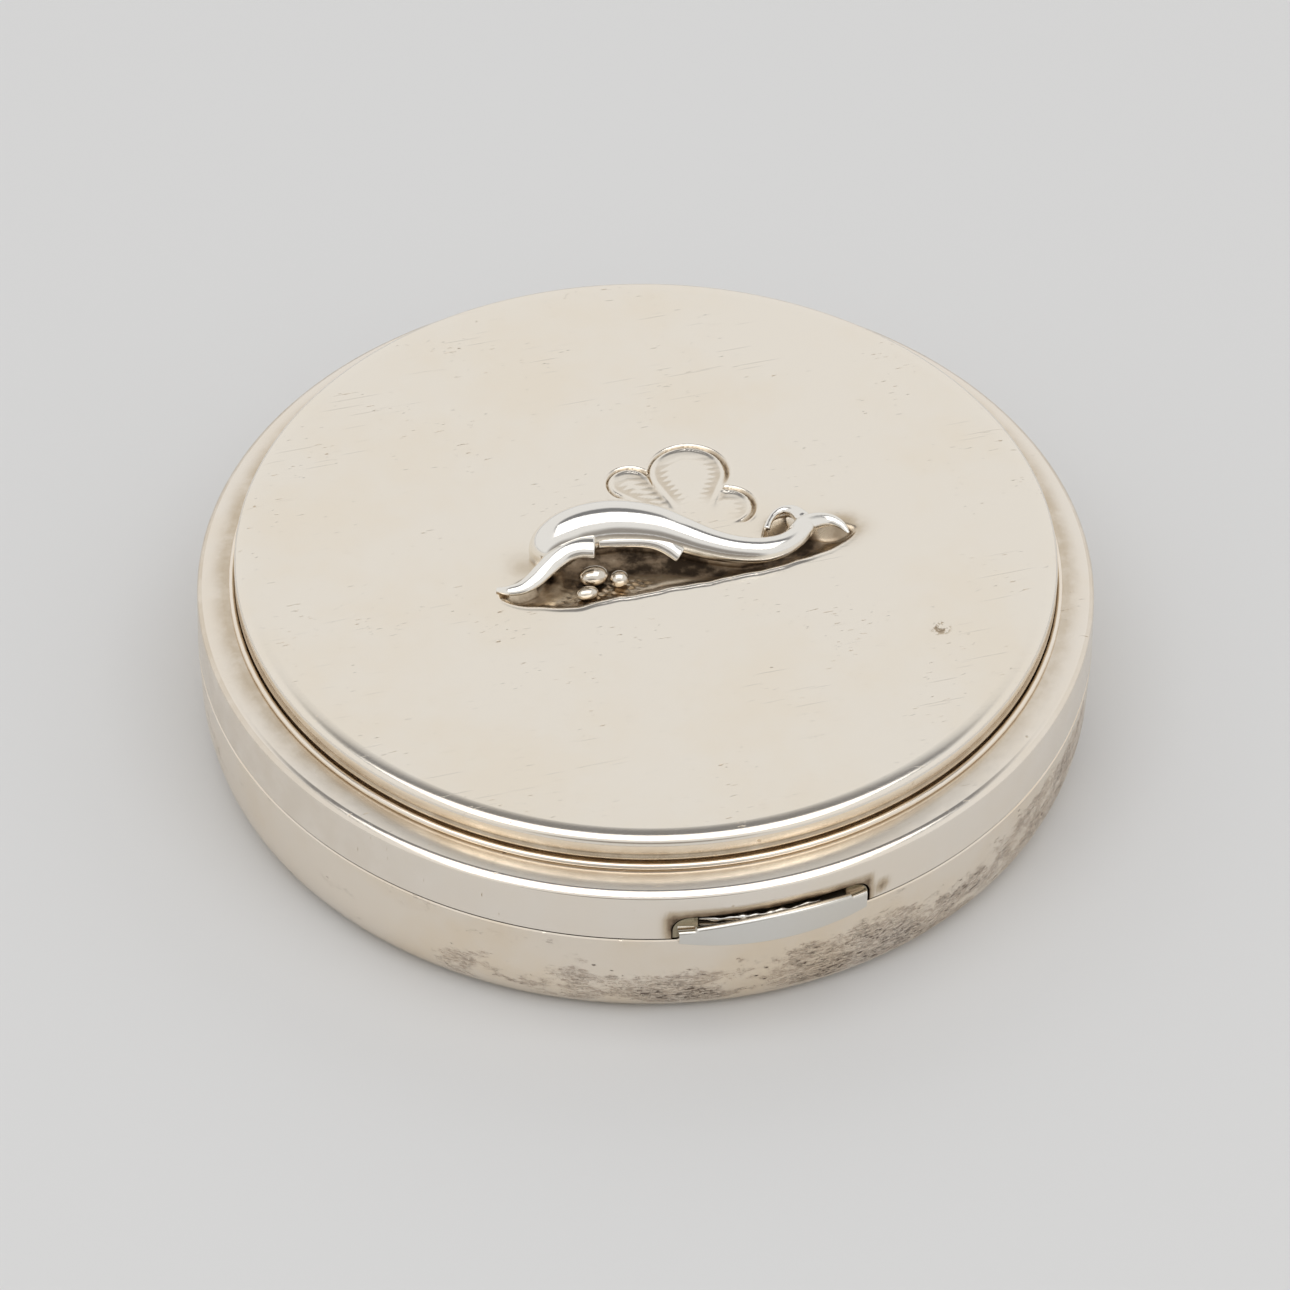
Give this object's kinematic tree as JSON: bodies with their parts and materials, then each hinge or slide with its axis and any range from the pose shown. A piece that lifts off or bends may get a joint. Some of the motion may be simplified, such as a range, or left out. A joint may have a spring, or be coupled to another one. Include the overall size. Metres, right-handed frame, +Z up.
{
  "type": "pill box",
  "caption": "Small round silver pill box: hinged lid with a raised platform and an applied dolphin-and-shell relief, push-piece catch at the front.",
  "frame": {"origin": "centre of the flat underside", "axes": "+Z up through the lid, -Y towards the push-piece catch, +Y towards the hinge, +X along the relief towards its tail"},
  "size_m": [0.05, 0.0518, 0.0146],
  "materials": {
    "body_silver": "polished sterling silver, worn, with brown tarnish low down",
    "plate_silver": "softly brushed sterling silver",
    "relief_silver": "highly polished sterling silver",
    "field_silver": "oxidised sterling silver",
    "fan_silver": "chased sterling silver",
    "wire_silver": "polished silver with a warm patina",
    "bar_silver": "polished sterling silver",
    "hinge_silver": "polished sterling silver",
    "inner_silver": "plain satin sterling silver",
    "spring_metal": "hard-rolled spring strip"
  },
  "bodies": {
    "base": {"base_shell": "body_silver", "base_bezel": "inner_silver", "hinge_bearer_base": "hinge_silver", "hinge_knuckles_base": "hinge_silver", "hinge_pin": "hinge_silver", "catch_housing": "inner_silver", "catch_spring": "spring_metal"},
    "push_piece": {"push_bar": "bar_silver", "push_carrier": "bar_silver", "push_stem": "inner_silver", "catch_ears": "inner_silver"},
    "lid": {"lid_rim": "body_silver", "lid_plate": "plate_silver", "foot_wire": "wire_silver", "field_dish": "field_silver", "hinge_bearer_lid": "hinge_silver", "hinge_knuckles_lid": "hinge_silver", "strike_lugs": "inner_silver", "relief_body": "relief_silver", "relief_snout": "relief_silver", "relief_fin": "relief_silver", "relief_fluke": "relief_silver", "relief_curl": "relief_silver", "relief_bead_large": "relief_silver", "relief_beads_small": "relief_silver", "fan_lobe_left": "fan_silver", "fan_lobe_centre": "fan_silver", "fan_lobe_right": "fan_silver", "fan_ribs": "fan_silver"}
  },
  "joints": [
    {"name": "lid_hinge", "type": "hinge", "parent": "base", "child": "lid", "pos_m": [0, 0.025, 0.00626], "axis": [-1, 0, 0], "range_deg": [0, 105]},
    {"name": "push_catch", "type": "slide", "parent": "base", "child": "push_piece", "axis": [0, 1, 0], "range_m": [0, 0.0008], "stiffness_N_per_m": 250, "springref_m": -0.0006, "deforming": ["catch_spring"]}
  ]
}
